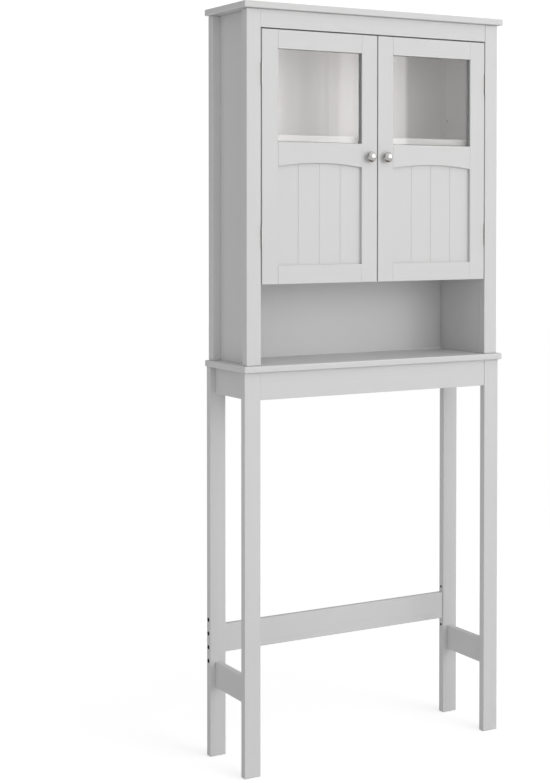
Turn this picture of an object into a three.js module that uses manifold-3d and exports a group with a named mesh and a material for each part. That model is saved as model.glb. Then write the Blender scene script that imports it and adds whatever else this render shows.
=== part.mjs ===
// Storage cabinet that stands over a toilet: an open four-legged stand carries a case with an
// open niche and, above it, a cupboard with two glazed doors. Painted board throughout.
// Millimetres. +Z up, front of the cabinet towards -Y. The origin is on the floor under the
// middle of the whole cabinet, knobs included.

import * as THREE from 'three';
import { mergeVertices } from 'three/addons/utils/BufferGeometryUtils.js';
import Module from 'manifold-3d';

// ---------------------------------------------------------------- driving dimensions

const GAP = 0.3; // kept between two pieces that are glued, screwed or resting on each other
const HEIGHT = 1730;
const CASE_DEPTH = 186; // front of the legs and posts to their backs
const KNOB_REACH = 16; // knob tip in front of the door face

const FRONT = KNOB_REACH - (CASE_DEPTH + KNOB_REACH) / 2; // front face of legs, posts and doors
const REAR = FRONT + CASE_DEPTH;

const BOARD = { width: 710, depth: 196, thick: 15 }; // top board and middle board

const STAND = { width: 700, top: 907 };
const LEG = { width: 40, thick: 18 };
const APRON = { height: 62, thick: 15, setback: 1 };
const SIDE_INSET = 13; // side aprons and side stretchers behind the outer faces of the legs
const SIDE_STRETCHER = { bottom: 161, height: 59 };
const REAR_BAR = { bottom: 240, height: 65, thick: 15 };
const BAR_HOLES = { lowest: 222, pitch: 32, count: 4, recessRadius: 5, recess: 24, boltRadius: 3.4 };
const BAR_BOLT = { headRadius: 4.5, headLength: 5, shankRadius: 3 };
const BOLTS_USED = [1, 2]; // which of the four holes the bar is bolted through

const CASE = { width: 690, bottom: STAND.top + BOARD.thick, top: HEIGHT - BOARD.thick };
const POST = { width: 36, thick: 22 };
const SIDE_PANEL = 16;
const BACK = { thick: 3, rebate: 6 };
const CASE_RAIL = { height: 40.5, thick: 16, setback: 1 };
const CASE_FLOOR = { bottom: 1103, thick: 15 };

const SHELF = { top: 1438.5, thick: 15, front: 25, rearClear: 2, sideClear: 1 };
const PIN = { radius: 2.5, holeRadius: 2.7, inWall: 9, proud: 10, pitch: 70, front: 55, rear: 157.5 };

const DOOR = { hingeGap: 2.8, meetingGap: 3.2, bottom: 1103, top: 1671.3, thick: 18, stile: 41.3, rail: 42 };
const WINDOW_SILL = 1421.5;
const MIDDLE_RAIL = { height: 54.5, archRise: 8.5 };
const REBATE = 6; // width of the rebate that takes the glass and the panel
const GLASS = { setback: 7, thick: 3 };
const BEADBOARD = { setback: 7, thick: 6, boards: 4, grooveWidth: 4, grooveDepth: 1 };

const KNOB = { height: 1391.5, inset: 21.2, baseRadius: 7, neckRadius: 5.5, headRadius: 12.4, bore: 7 };
const KNOB_SCREW = { radius: 2, holeRadius: 2.3, headRadius: 4.5, headHeight: 2.4 };

const HINGE = { length: 50, upper: 1572, lower: 1211, leafDepth: 16, leafThick: 0.8 };
const KNUCKLE = { count: 5, radius: 1.75, pinRadius: 0.8, boreRadius: 1.1, proud: 2, play: 0.25 };

const CATCH = { width: 46, depth: 14, height: 12 };
const STRIKE = { width: 16, height: 12, thick: 1.2, fromCentre: 12 };

// ---------------------------------------------------------------- finishes

const PAINT = { color: 0xcfcfcf, roughness: 0.5, metalness: 0 };
const CLEAR_GLASS = { color: 0xdfe6e6, roughness: 0.05, metalness: 0, transparent: true, opacity: 0.3 };
const NICKEL = { color: 0xbfbdb8, roughness: 0.25, metalness: 1 };
const STEEL = { color: 0x8e9092, roughness: 0.4, metalness: 1 };
const DARK_PLASTIC = { color: 0x55585a, roughness: 0.6, metalness: 0 };

// ---------------------------------------------------------------- solids

const wasm = await Module();
wasm.setup();

/** Closed solid of a geometry, with its shared corners joined. */
function solidOf(geometry) {
  const plain = geometry.index ? geometry.toNonIndexed() : geometry.clone();
  plain.deleteAttribute('normal');
  plain.deleteAttribute('uv');
  const joined = mergeVertices(plain, 1e-4);
  const data = new wasm.Mesh({
    numProp: 3,
    vertProperties: Float32Array.from(joined.attributes.position.array),
    triVerts: Uint32Array.from(joined.index.array),
  });
  return new wasm.Manifold(data);
}

/** Geometry of a solid. */
function geometryOf(solid) {
  const data = solid.getMesh();
  const geometry = new THREE.BufferGeometry();
  geometry.setAttribute('position', new THREE.BufferAttribute(Float32Array.from(data.vertProperties), 3));
  geometry.setIndex(new THREE.BufferAttribute(Uint32Array.from(data.triVerts), 1));
  geometry.computeVertexNormals();
  return geometry;
}

/** One geometry with others cut away from it. */
function cut(geometry, tools) {
  const result = tools.reduce((solid, tool) => solid.subtract(solidOf(tool)), solidOf(geometry));
  return geometryOf(result);
}

/** Several overlapping geometries made one. */
function join(geometries) {
  const [first, ...others] = geometries.map(solidOf);
  return geometryOf(others.reduce((solid, other) => solid.add(other), first));
}

/** Box between two corners. */
function block([x0, y0, z0], [x1, y1, z1]) {
  const geometry = new THREE.BoxGeometry(x1 - x0, y1 - y0, z1 - z0);
  return geometry.translate((x0 + x1) / 2, (y0 + y1) / 2, (z0 + z1) / 2);
}

/** Round bar along X from x0 to x1. */
function barAlongX(radius, x0, x1, y, z, sides = 20) {
  const geometry = new THREE.CylinderGeometry(radius, radius, Math.abs(x1 - x0), sides);
  return geometry.rotateZ(Math.PI / 2).translate((x0 + x1) / 2, y, z);
}

/** Round bar along Y from y0 to y1. */
function barAlongY(radius, y0, y1, x, z, sides = 20) {
  const geometry = new THREE.CylinderGeometry(radius, radius, y1 - y0, sides);
  return geometry.translate(x, (y0 + y1) / 2, z);
}

/** Round bar along Z from z0 to z1. */
function barAlongZ(radius, z0, z1, x, y, sides = 20) {
  const geometry = new THREE.CylinderGeometry(radius, radius, z1 - z0, sides);
  return geometry.rotateX(Math.PI / 2).translate(x, y, (z0 + z1) / 2);
}

/** Shape in plan, given as x and y pairs, raised from z0 to z1. */
function raised(outline, z0, z1) {
  const shape = new THREE.Shape(outline.map(([x, y]) => new THREE.Vector2(x, y)));
  const geometry = new THREE.ExtrudeGeometry(shape, { depth: z1 - z0, bevelEnabled: false });
  return geometry.translate(0, 0, z0);
}

/** The same geometry on the other side of the middle, still facing outwards. */
function mirrored(geometry) {
  const copy = geometry.index ? geometry.toNonIndexed() : geometry.clone();
  copy.scale(-1, 1, 1);
  const position = copy.attributes.position;
  for (let corner = 0; corner < position.count; corner += 3) {
    const [x, y, z] = [position.getX(corner), position.getY(corner), position.getZ(corner)];
    position.setXYZ(corner, position.getX(corner + 2), position.getY(corner + 2), position.getZ(corner + 2));
    position.setXYZ(corner + 2, x, y, z);
  }
  copy.computeVertexNormals();
  return copy;
}

// ---------------------------------------------------------------- the cabinet

const cabinet = new THREE.Group();

function add(name, finish, geometry) {
  const mesh = new THREE.Mesh(geometry, new THREE.MeshStandardMaterial(finish));
  mesh.name = name;
  cabinet.add(mesh);
}

/** A piece of the left side and its mirror image on the right side. */
function addPair(name, finish, geometry) {
  add(`left_${name}`, finish, geometry);
  add(`right_${name}`, finish, mirrored(geometry));
}

/** The two boards that overhang the stand and the case. */
function addBoards() {
  const half = BOARD.width / 2;
  const low = (z) => [-half, REAR - BOARD.depth, z + GAP];
  const high = (z) => [half, REAR, z + BOARD.thick];
  add('middle_board', PAINT, block(low(STAND.top), high(STAND.top)));
  add('top_board', PAINT, block(low(CASE.top), high(CASE.top)));
}

/** Legs, aprons and side stretchers of the stand. */
function addStand() {
  const outer = -STAND.width / 2;
  const inner = outer + LEG.width;
  const bar = REAR - REAR_BAR.thick / 2;
  const holes = [];
  for (let i = 0; i < BAR_HOLES.count; i += 1) {
    const z = BAR_HOLES.lowest + i * BAR_HOLES.pitch;
    holes.push(barAlongX(BAR_HOLES.recessRadius, outer - 1, outer + BAR_HOLES.recess, bar, z));
    holes.push(barAlongX(BAR_HOLES.boltRadius, outer + BAR_HOLES.recess - 1, inner + 1, bar, z));
  }
  const rearLeg = block([outer, REAR - LEG.thick, 0], [inner, REAR, STAND.top]);
  addPair('front_leg', PAINT, block([outer, FRONT, 0], [inner, FRONT + LEG.thick, STAND.top]));
  addPair('rear_leg', PAINT, cut(rearLeg, holes));

  const apronBottom = STAND.top - APRON.height;
  const apronHalf = -inner - GAP;
  const frontApron = FRONT + APRON.setback;
  const rearApron = REAR - APRON.setback - APRON.thick;
  for (const [name, y] of [['front_apron', frontApron], ['rear_apron', rearApron]]) {
    add(name, PAINT, block([-apronHalf, y, apronBottom], [apronHalf, y + APRON.thick, STAND.top]));
  }

  const sideOuter = outer + SIDE_INSET;
  const sideFront = FRONT + LEG.thick + GAP;
  const sideRear = REAR - LEG.thick - GAP;
  const sideBar = (z0, z1) => block([sideOuter, sideFront, z0], [sideOuter + APRON.thick, sideRear, z1]);
  const stretcherTop = SIDE_STRETCHER.bottom + SIDE_STRETCHER.height;
  addPair('side_apron', PAINT, sideBar(apronBottom, STAND.top));
  addPair('side_stretcher', PAINT, sideBar(SIDE_STRETCHER.bottom, stretcherTop));
}

/** Height-adjustable bar between the rear legs, and the bolts that hold it. */
function addRearBar() {
  const legInner = -STAND.width / 2 + LEG.width;
  const half = -legInner - GAP;
  const top = REAR_BAR.bottom + REAR_BAR.height;
  add('rear_bar', PAINT, block([-half, REAR - REAR_BAR.thick, REAR_BAR.bottom], [half, REAR, top]));

  const seat = -STAND.width / 2 + BAR_HOLES.recess - GAP;
  const y = REAR - REAR_BAR.thick / 2;
  BOLTS_USED.forEach((hole, i) => {
    const z = BAR_HOLES.lowest + hole * BAR_HOLES.pitch;
    const head = barAlongX(BAR_BOLT.headRadius, seat - BAR_BOLT.headLength, seat, y, z, 16);
    const shank = barAlongX(BAR_BOLT.shankRadius, seat - 1, legInner, y, z, 16);
    addPair(`bar_bolt_${['lower', 'upper'][i]}`, STEEL, join([head, shank]));
  });
}

/** Corner posts, sides, back, front rail and floor of the case. */
function addCase() {
  const bottom = CASE.bottom + GAP;
  const outer = -CASE.width / 2;
  const inner = outer + POST.width;
  addPair('front_post', PAINT, block([outer, FRONT, bottom], [inner, FRONT + POST.thick, CASE.top]));

  const rebate = REAR - BACK.thick - GAP;
  const rearPost = [
    [outer, REAR - POST.thick],
    [inner, REAR - POST.thick],
    [inner, rebate],
    [inner - BACK.rebate, rebate],
    [inner - BACK.rebate, REAR],
    [outer, REAR],
  ];
  addPair('rear_post', PAINT, raised(rearPost, bottom, CASE.top));

  const panelFront = FRONT + POST.thick + GAP;
  const panelRear = REAR - POST.thick - GAP;
  const sidePanel = block([inner - SIDE_PANEL, panelFront, bottom], [inner, panelRear, CASE.top]);
  addPair('side_panel', PAINT, cut(sidePanel, pinHoles(inner)));

  const backHalf = -inner + BACK.rebate - GAP;
  add('back_panel', PAINT, block([-backHalf, REAR - BACK.thick, bottom], [backHalf, REAR, CASE.top]));

  const innerHalf = -inner - GAP;
  const railFront = FRONT + CASE_RAIL.setback;
  const railLow = [-innerHalf, railFront, CASE.top - CASE_RAIL.height];
  add('case_top_rail', PAINT, block(railLow, [innerHalf, railFront + CASE_RAIL.thick, CASE.top]));

  const floorFront = FRONT + DOOR.thick + 1;
  const floorRear = REAR - BACK.thick - GAP;
  const floorTop = CASE_FLOOR.bottom + CASE_FLOOR.thick;
  const floorLow = [-innerHalf, floorFront, CASE_FLOOR.bottom];
  add('case_floor', PAINT, block(floorLow, [innerHalf, floorRear, floorTop]));

  const catchHalf = CATCH.width / 2;
  const catchLow = [-catchHalf, floorFront + 1.5, floorTop + GAP];
  const catchHigh = [catchHalf, floorFront + 1.5 + CATCH.depth, floorTop + GAP + CATCH.height];
  add('magnet_catch', DARK_PLASTIC, block(catchLow, catchHigh));
}

/** Height of the middle row of shelf pins, under the shelf. */
function pinRow() {
  return SHELF.top - SHELF.thick - GAP - PIN.radius;
}

/** Three heights of two holes each in the wall whose inner face is at x. */
function pinHoles(x) {
  const holes = [];
  for (const step of [-1, 0, 1]) {
    for (const depth of [PIN.front, PIN.rear]) {
      const z = pinRow() + step * PIN.pitch;
      holes.push(barAlongX(PIN.holeRadius, x - PIN.inWall - GAP, x + 1, FRONT + depth, z, 16));
    }
  }
  return holes;
}

/** Loose shelf and the four pins that carry it. */
function addShelf() {
  const wall = CASE.width / 2 - POST.width;
  const half = wall - SHELF.sideClear;
  const rear = REAR - BACK.thick - SHELF.rearClear;
  const low = [-half, FRONT + SHELF.front, SHELF.top - SHELF.thick];
  add('adjustable_shelf', PAINT, block(low, [half, rear, SHELF.top]));
  for (const [place, depth] of [['front', PIN.front], ['rear', PIN.rear]]) {
    const pin = barAlongX(PIN.radius, -wall - PIN.inWall, -wall + PIN.proud, FRONT + depth, pinRow(), 16);
    addPair(`shelf_pin_${place}`, NICKEL, pin);
  }
}

/** Front view outline of the middle rail: straight on top, arched below. */
function archedRail(x0, x1, y0, y1) {
  const bottom = WINDOW_SILL - MIDDLE_RAIL.height;
  const halfSpan = (x1 - x0) / 2;
  const rise = MIDDLE_RAIL.archRise;
  const radius = (halfSpan ** 2 + rise ** 2) / (2 * rise);
  const turn = Math.asin(halfSpan / radius);
  const outline = new THREE.Shape();
  outline.moveTo(x1, WINDOW_SILL);
  outline.lineTo(x0, WINDOW_SILL);
  outline.lineTo(x0, bottom);
  const centre = [(x0 + x1) / 2, bottom + rise - radius];
  outline.absarc(...centre, radius, Math.PI / 2 + turn, Math.PI / 2 - turn, true);
  const geometry = new THREE.ExtrudeGeometry(outline, {
    depth: y1 - y0,
    bevelEnabled: false,
    curveSegments: 12,
  });
  return geometry.rotateX(Math.PI / 2).translate(0, y1, 0);
}

/** Frame, glass, panel, knob and strike of the left door, mirrored for the right door. */
function addDoors() {
  const left = -CASE.width / 2 + POST.width + DOOR.hingeGap;
  const right = -DOOR.meetingGap / 2;
  const back = FRONT + DOOR.thick;
  const openLeft = left + DOOR.stile;
  const openRight = right - DOOR.stile;
  const windowTop = DOOR.top - DOOR.rail;
  const panelBottom = DOOR.bottom + DOOR.rail;
  const panelTop = WINDOW_SILL - MIDDLE_RAIL.height + MIDDLE_RAIL.archRise;

  const rebateFor = (setback, z0, z1) =>
    block([openLeft - REBATE, FRONT + setback, z0 - REBATE], [openRight + REBATE, back + 1, z1 + REBATE]);
  const rebates = [
    rebateFor(GLASS.setback, WINDOW_SILL, windowTop),
    rebateFor(BEADBOARD.setback, panelBottom, panelTop),
  ];
  const knobX = right - KNOB.inset;
  const screwHole = barAlongY(KNOB_SCREW.holeRadius, FRONT - 1, back + 1, knobX, KNOB.height, 16);

  const stile = (x0, x1) => block([x0, FRONT, DOOR.bottom], [x1, back, DOOR.top]);
  addPair('door_hinge_stile', PAINT, cut(stile(left, openLeft), rebates));
  addPair('door_meeting_stile', PAINT, cut(stile(openRight, right), [...rebates, screwHole]));

  const railLeft = openLeft + GAP;
  const railRight = openRight - GAP;
  const rail = (z0, z1) => cut(block([railLeft, FRONT, z0], [railRight, back, z1]), rebates);
  addPair('door_top_rail', PAINT, rail(windowTop, DOOR.top));
  addPair('door_middle_rail', PAINT, cut(archedRail(railLeft, railRight, FRONT, back), rebates));
  addPair('door_bottom_rail', PAINT, rail(DOOR.bottom, panelBottom));

  const edge = REBATE - GAP;
  const glassFront = FRONT + GLASS.setback + GAP;
  const glassLow = [openLeft - edge, glassFront, WINDOW_SILL - edge];
  const glassHigh = [openRight + edge, glassFront + GLASS.thick, windowTop + edge];
  addPair('door_glass', CLEAR_GLASS, block(glassLow, glassHigh));

  const board = beadboard(openLeft, openRight, edge);
  addPair('door_beadboard', PAINT, raised(board, panelBottom - edge, panelTop + edge));

  addPair('door_knob', NICKEL, knob(knobX));
  addPair('door_knob_screw', STEEL, knobScrew(knobX, back));

  const strikeX = -STRIKE.fromCentre;
  const strikeZ = CASE_FLOOR.bottom + CASE_FLOOR.thick + GAP + CATCH.height / 2;
  const strikeLow = [strikeX - STRIKE.width / 2, back + GAP, strikeZ - STRIKE.height / 2];
  const strikeHigh = [strikeX + STRIKE.width / 2, back + STRIKE.thick, strikeZ + STRIKE.height / 2];
  addPair('door_strike', STEEL, block(strikeLow, strikeHigh));
}

/** Plan outline of the grooved panel between two sides of its opening. */
function beadboard(openLeft, openRight, edge) {
  const front = FRONT + BEADBOARD.setback + GAP;
  const rear = front + BEADBOARD.thick;
  const outline = [[openLeft - edge, front]];
  for (let i = 1; i < BEADBOARD.boards; i += 1) {
    const x = openLeft + ((openRight - openLeft) * i) / BEADBOARD.boards;
    const half = BEADBOARD.grooveWidth / 2;
    outline.push([x - half, front], [x, front + BEADBOARD.grooveDepth], [x + half, front]);
  }
  outline.push([openRight + edge, front], [openRight + edge, rear], [openLeft - edge, rear]);
  return outline;
}

/** Turned knob with a blind hole for its screw. */
function knob(x) {
  const { baseRadius, neckRadius, headRadius, bore } = KNOB;
  const profile = [
    [0, bore],
    [KNOB_SCREW.holeRadius, bore],
    [KNOB_SCREW.holeRadius, GAP],
    [baseRadius, GAP],
    [baseRadius, 1.5],
    [neckRadius, 2.5],
    [neckRadius, 4.5],
    [headRadius - 2.4, 6.5],
    [headRadius, 8.5],
    [headRadius, 10.5],
    [headRadius - 2, 13],
    [headRadius / 2, KNOB_REACH - 0.8],
    [0, KNOB_REACH],
  ];
  const geometry = new THREE.LatheGeometry(profile.map(([r, out]) => new THREE.Vector2(r, out)), 28);
  return geometry.rotateX(Math.PI).translate(x, FRONT, KNOB.height);
}

/** Screw through the stile into the knob, with its head inside the cupboard. */
function knobScrew(x, back) {
  const seat = back + GAP;
  const head = barAlongY(KNOB_SCREW.headRadius, seat, seat + KNOB_SCREW.headHeight, x, KNOB.height, 16);
  const shank = barAlongY(KNOB_SCREW.radius, FRONT - KNOB.bore + 1, seat + 1, x, KNOB.height, 16);
  return join([head, shank]);
}

/** Butt hinges: the leaf on the post carries the pin, the leaf on the door turns on it. */
function addHinges() {
  const postFace = -CASE.width / 2 + POST.width;
  const axisX = postFace + DOOR.hingeGap / 2;
  const axisY = FRONT - KNUCKLE.proud;
  const play = (DOOR.hingeGap - 2 * HINGE.leafThick) / 4;
  const step = HINGE.length / KNUCKLE.count;

  // a plate in the door's gap, with every second knuckle from the given one up
  const leaf = (x0, low, firstKnuckle) => {
    const x1 = x0 + HINGE.leafThick;
    const parts = [block([x0, FRONT, low], [x1, FRONT + HINGE.leafDepth, low + HINGE.length])];
    for (let i = firstKnuckle; i < KNUCKLE.count; i += 2) {
      const z0 = low + i * step + (i > 0 ? KNUCKLE.play / 2 : 0);
      const z1 = low + (i + 1) * step - (i < KNUCKLE.count - 1 ? KNUCKLE.play / 2 : 0);
      parts.push(barAlongZ(KNUCKLE.radius, z0, z1, axisX, axisY));
      parts.push(block([x0, axisY, z0], [x1, FRONT + 1, z1]));
    }
    return parts;
  };

  const postSide = postFace + play;
  const doorSide = postSide + HINGE.leafThick + 2 * play;
  for (const [place, middle] of [['upper', HINGE.upper], ['lower', HINGE.lower]]) {
    const low = middle - HINGE.length / 2;
    const high = middle + HINGE.length / 2;
    const pin = barAlongZ(KNUCKLE.pinRadius, low, high, axisX, axisY, 12);
    const bore = barAlongZ(KNUCKLE.boreRadius, low - 1, high + 1, axisX, axisY, 16);
    addPair(`${place}_hinge_post_leaf`, NICKEL, join([...leaf(postSide, low, 0), pin]));
    addPair(`${place}_hinge_door_leaf`, NICKEL, cut(join(leaf(doorSide, low, 1)), [bore]));
  }
}

addStand();
addRearBar();
addBoards();
addCase();
addShelf();
addDoors();
addHinges();

export default cabinet;
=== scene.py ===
"""Storage cabinet that stands over a toilet: an open painted stand carries a case with an open niche
and a cupboard with two glazed and panelled doors. Metres, +Z up, the front faces -Y.
"""

import math

import bmesh
import bpy
from mathutils import Matrix, Vector


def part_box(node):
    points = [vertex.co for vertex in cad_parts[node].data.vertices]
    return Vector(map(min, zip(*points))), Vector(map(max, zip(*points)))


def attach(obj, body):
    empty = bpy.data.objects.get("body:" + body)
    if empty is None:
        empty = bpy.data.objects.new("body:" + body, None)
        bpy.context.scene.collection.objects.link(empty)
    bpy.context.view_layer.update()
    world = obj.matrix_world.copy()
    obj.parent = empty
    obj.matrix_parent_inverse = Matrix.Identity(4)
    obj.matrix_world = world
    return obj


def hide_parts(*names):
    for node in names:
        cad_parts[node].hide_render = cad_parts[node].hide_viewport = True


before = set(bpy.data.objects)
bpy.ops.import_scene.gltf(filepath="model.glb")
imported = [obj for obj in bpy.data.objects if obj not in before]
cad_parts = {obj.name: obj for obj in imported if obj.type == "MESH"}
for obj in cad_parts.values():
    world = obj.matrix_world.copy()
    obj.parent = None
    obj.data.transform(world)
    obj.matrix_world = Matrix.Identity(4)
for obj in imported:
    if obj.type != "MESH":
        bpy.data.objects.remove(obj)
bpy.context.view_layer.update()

MM = 0.001
SIDES = {"left": -1, "right": 1}

# ------------------------------------------------------------------ front legs
# Two straight legs of planed hardwood, 40 x 18 mm, wide face to the front. Sanded, arrises eased by
# hand, then sprayed light grey. The aprons and stretchers are dowelled and glued to them.

GREY_PAINT = (0.640, 0.640, 0.640, 1)
# Lighter paint on rounded edges: partly rubbed paint, partly a painted highlight.
RUBBED_PAINT_AND_HIGHLIGHT = (0.735, 0.735, 0.730, 1)
# Near-black painted shade on the bare faces inside bored holes.
BARE_BORE_PAINTED_SHADE = (0.030, 0.027, 0.024, 1)
LEG_ARRIS = 1.3 * MM


def wired(tree, kind, inputs=None, **settings):
    """Adds a node with its settings and its inputs, where an input is a value or another node's output."""
    node = tree.nodes.new(kind)
    for key, value in settings.items():
        setattr(node, key, value)
    for key, value in (inputs or {}).items():
        if isinstance(value, bpy.types.NodeSocket):
            tree.links.new(value, node.inputs[key])
        else:
            node.inputs[key].default_value = value
    return node


def effect(name, inputs, outputs):
    """A shader node group with float or vector inputs, given with their usual values, and float outputs."""
    group = bpy.data.node_groups.new(name, "ShaderNodeTree")
    for key, value in inputs.items():
        kind = "NodeSocketFloat" if isinstance(value, (int, float)) else "NodeSocketVector"
        group.interface.new_socket(key, in_out="INPUT", socket_type=kind).default_value = value
    for key in outputs:
        group.interface.new_socket(key, in_out="OUTPUT", socket_type="NodeSocketFloat")
    return group, group.nodes.new("NodeGroupInput").outputs, group.nodes.new("NodeGroupOutput")


def calc(tree, operation, *values):
    """Output of a math node."""
    return wired(tree, "ShaderNodeMath", dict(enumerate(values)), operation=operation).outputs[0]


def ranged(tree, value, from_low, from_high, to_low, to_high):
    """Output of a node that maps one range to another and stops at its ends."""
    given = {"Value": value, "From Min": from_low, "From Max": from_high}
    given |= {"To Min": to_low, "To Max": to_high}
    return wired(tree, "ShaderNodeMapRange", given).outputs[0]


def object_place(tree):
    """Output that gives where a point is on the object."""
    return wired(tree, "ShaderNodeTexCoord").outputs["Object"]


def stretched(tree, vector, factors):
    """Output of a node that multiplies a vector part by part."""
    return wired(tree, "ShaderNodeVectorMath", {0: vector, 1: factors}, operation="MULTIPLY").outputs[0]


def noise(tree, where, scale, detail):
    """Output of a noise texture."""
    values = {"Vector": where, "Scale": scale, "Detail": detail}
    return wired(tree, "ShaderNodeTexNoise", values).outputs["Fac"]


def two_tones(tree, share, first, second):
    """Output of a node that mixes a share of a second colour into a first."""
    values = {"Factor": share, "A": first, "B": second}
    return wired(tree, "ShaderNodeMix", values, data_type="RGBA").outputs["Result"]


def mark_on_piece(tree, attribute):
    """Output that reads a number kept on the mesh of a piece."""
    return wired(tree, "ShaderNodeAttribute", attribute_name=attribute).outputs["Fac"]


def sprayed_paint_effect():
    """Slow drifts of tone and gloss, grain that shows through the film, and the film's own ripple."""
    usual = {"Piece": 0.0, "Grain Run": (60.0, 60.0, 60.0), "Grain": 0.5, "Ripple": 1.0}
    tree, given, out = effect("sprayed paint", usual, ("Tone", "Gloss", "Height"))
    place = object_place(tree)
    run = stretched(tree, place, given["Grain Run"])

    def own_noise(where, scale, detail):
        values = {"Vector": where, "W": given["Piece"], "Scale": scale, "Detail": detail}
        return wired(tree, "ShaderNodeTexNoise", values, noise_dimensions="4D").outputs["Fac"]

    drift, grain = own_noise(place, 3.1, 2.0), own_noise(run, 1.0, 5.0)
    ripple, mottle = own_noise(place, 330.0, 2.0), own_noise(place, 42.0, 3.0)
    grain_part = calc(tree, "MULTIPLY", calc(tree, "SUBTRACT", grain, 0.5), given["Grain"])
    tone = calc(tree, "MULTIPLY_ADD", calc(tree, "SUBTRACT", drift, 0.5), 0.06, 1.0)
    tone = calc(tree, "MULTIPLY_ADD", grain_part, 0.05, tone)
    gloss = calc(tree, "MULTIPLY_ADD", calc(tree, "SUBTRACT", mottle, 0.5), 0.10, 0.44)
    gloss = calc(tree, "MULTIPLY_ADD", grain_part, 0.10, gloss)
    height = calc(tree, "MULTIPLY_ADD", ripple, given["Ripple"], grain_part)
    for key, value in (("Tone", tone), ("Gloss", gloss), ("Height", height)):
        tree.links.new(value, out.inputs[key])
    return tree


def worn_and_highlit_edge_effect():
    """How far a rounded edge is rubbed, broken up along its run. On paint, the lighter edge is partly
    rubbed paint and partly a painted highlight.
    """
    tree, given, out = effect("worn and highlit edge", {"Size": 30.0, "Reach": 0.5}, ("Worn And Highlit",))
    patches = noise(tree, object_place(tree), given["Size"], 4.0)
    broken = ranged(tree, patches, 0.35, 0.65, 0.35, 1.0)
    rubbed = calc(tree, "MULTIPLY", mark_on_piece(tree, "edge"), broken)
    worn_and_lit = calc(tree, "MULTIPLY", rubbed, given["Reach"])
    tree.links.new(worn_and_lit, out.inputs["Worn And Highlit"])
    return tree


SPRAYED_PAINT = sprayed_paint_effect()
WORN_AND_HIGHLIT_EDGE = worn_and_highlit_edge_effect()


def new_material(name):
    """A new node material, with its tree and its Principled shader."""
    material = bpy.data.materials.new(name)
    material.use_nodes = True
    tree = material.node_tree
    return material, tree, tree.nodes["Principled BSDF"]


def surfaced(tree, shader, colour, gloss, height, strength, depth):
    """Gives a shader its colour and gloss, and a bump of a strength and depth from a height."""
    relief = {"Strength": strength, "Distance": depth, "Height": height}
    tree.links.new(colour, shader.inputs["Base Color"])
    tree.links.new(gloss, shader.inputs["Roughness"])
    tree.links.new(wired(tree, "ShaderNodeBump", relief).outputs[0], shader.inputs["Normal"])


def painted(name, grain_run, grain, ripple):
    """Satin paint over timber or board. The grain is stretched along grain_run's slow direction. Rounded
    edges are lighter, partly as a painted highlight, and bores get a near-black painted shade.
    """
    material, tree, shader = new_material(name)
    number = mark_on_piece(tree, "piece_number")
    values = {"Piece": number, "Grain Run": grain_run, "Grain": grain, "Ripple": ripple}
    film = wired(tree, "ShaderNodeGroup", values, node_tree=SPRAYED_PAINT).outputs
    worn_and_lit = wired(tree, "ShaderNodeGroup", node_tree=WORN_AND_HIGHLIT_EDGE).outputs["Worn And Highlit"]
    bare_bore_shade = mark_on_piece(tree, "bare_bore_shade")
    toned = {0: GREY_PAINT[:3], "Scale": film["Tone"]}
    colour = wired(tree, "ShaderNodeVectorMath", toned, operation="SCALE").outputs[0]
    # Rounded edges lighter: partly rubbed paint, partly a painted highlight along the edge.
    colour = two_tones(tree, worn_and_lit, colour, RUBBED_PAINT_AND_HIGHLIGHT)
    # Faces inside bores: bare wood darkened to near black as painted shade.
    colour = two_tones(tree, bare_bore_shade, colour, BARE_BORE_PAINTED_SHADE)
    gloss = calc(tree, "MULTIPLY_ADD", worn_and_lit, -0.10, film["Gloss"])
    gloss = calc(tree, "MULTIPLY_ADD", bare_bore_shade, 0.4, gloss)
    surfaced(tree, shader, colour, gloss, film["Height"], 0.16, 0.12 * MM)
    return material


PAINTED_UPRIGHT = painted("grey paint on upright timber", (160.0, 160.0, 5.0), 1.0, 0.6)


def new_shape():
    """An empty mesh that keeps its rounded faces, its bare bore faces that get a painted shade, and how far
    along a turned part is.
    """
    shape = bmesh.new()
    shape.faces.layers.float.new("edge")
    shape.faces.layers.float.new("bare_bore_shade")
    shape.verts.layers.float.new("lay")
    return shape


def block(shape, low, high):
    """Adds a block between two corners and returns its corners."""
    low, high = Vector(low), Vector(high)
    made = bmesh.ops.create_cube(shape, size=1)["verts"]
    bmesh.ops.scale(shape, vec=high - low, verts=made)
    bmesh.ops.translate(shape, vec=(low + high) / 2, verts=made)
    return made


def mark_eased(shape, edges, radius, steps=3):
    """Rounds edges and marks the new faces."""
    mark = shape.faces.layers.float["edge"]
    made = bmesh.ops.bevel(
        shape, geom=list(edges), offset=radius, segments=steps, profile=0.5, affect="EDGES",
        material=-1, clamp_overlap=True,
    )
    for face in made["faces"]:
        face[mark] = 1.0


def board(low, high, arris, steps=3):
    """A planed board between two corners with all its edges eased."""
    shape = new_shape()
    block(shape, low, high)
    mark_eased(shape, shape.edges[:], arris, steps)
    return shape


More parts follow.
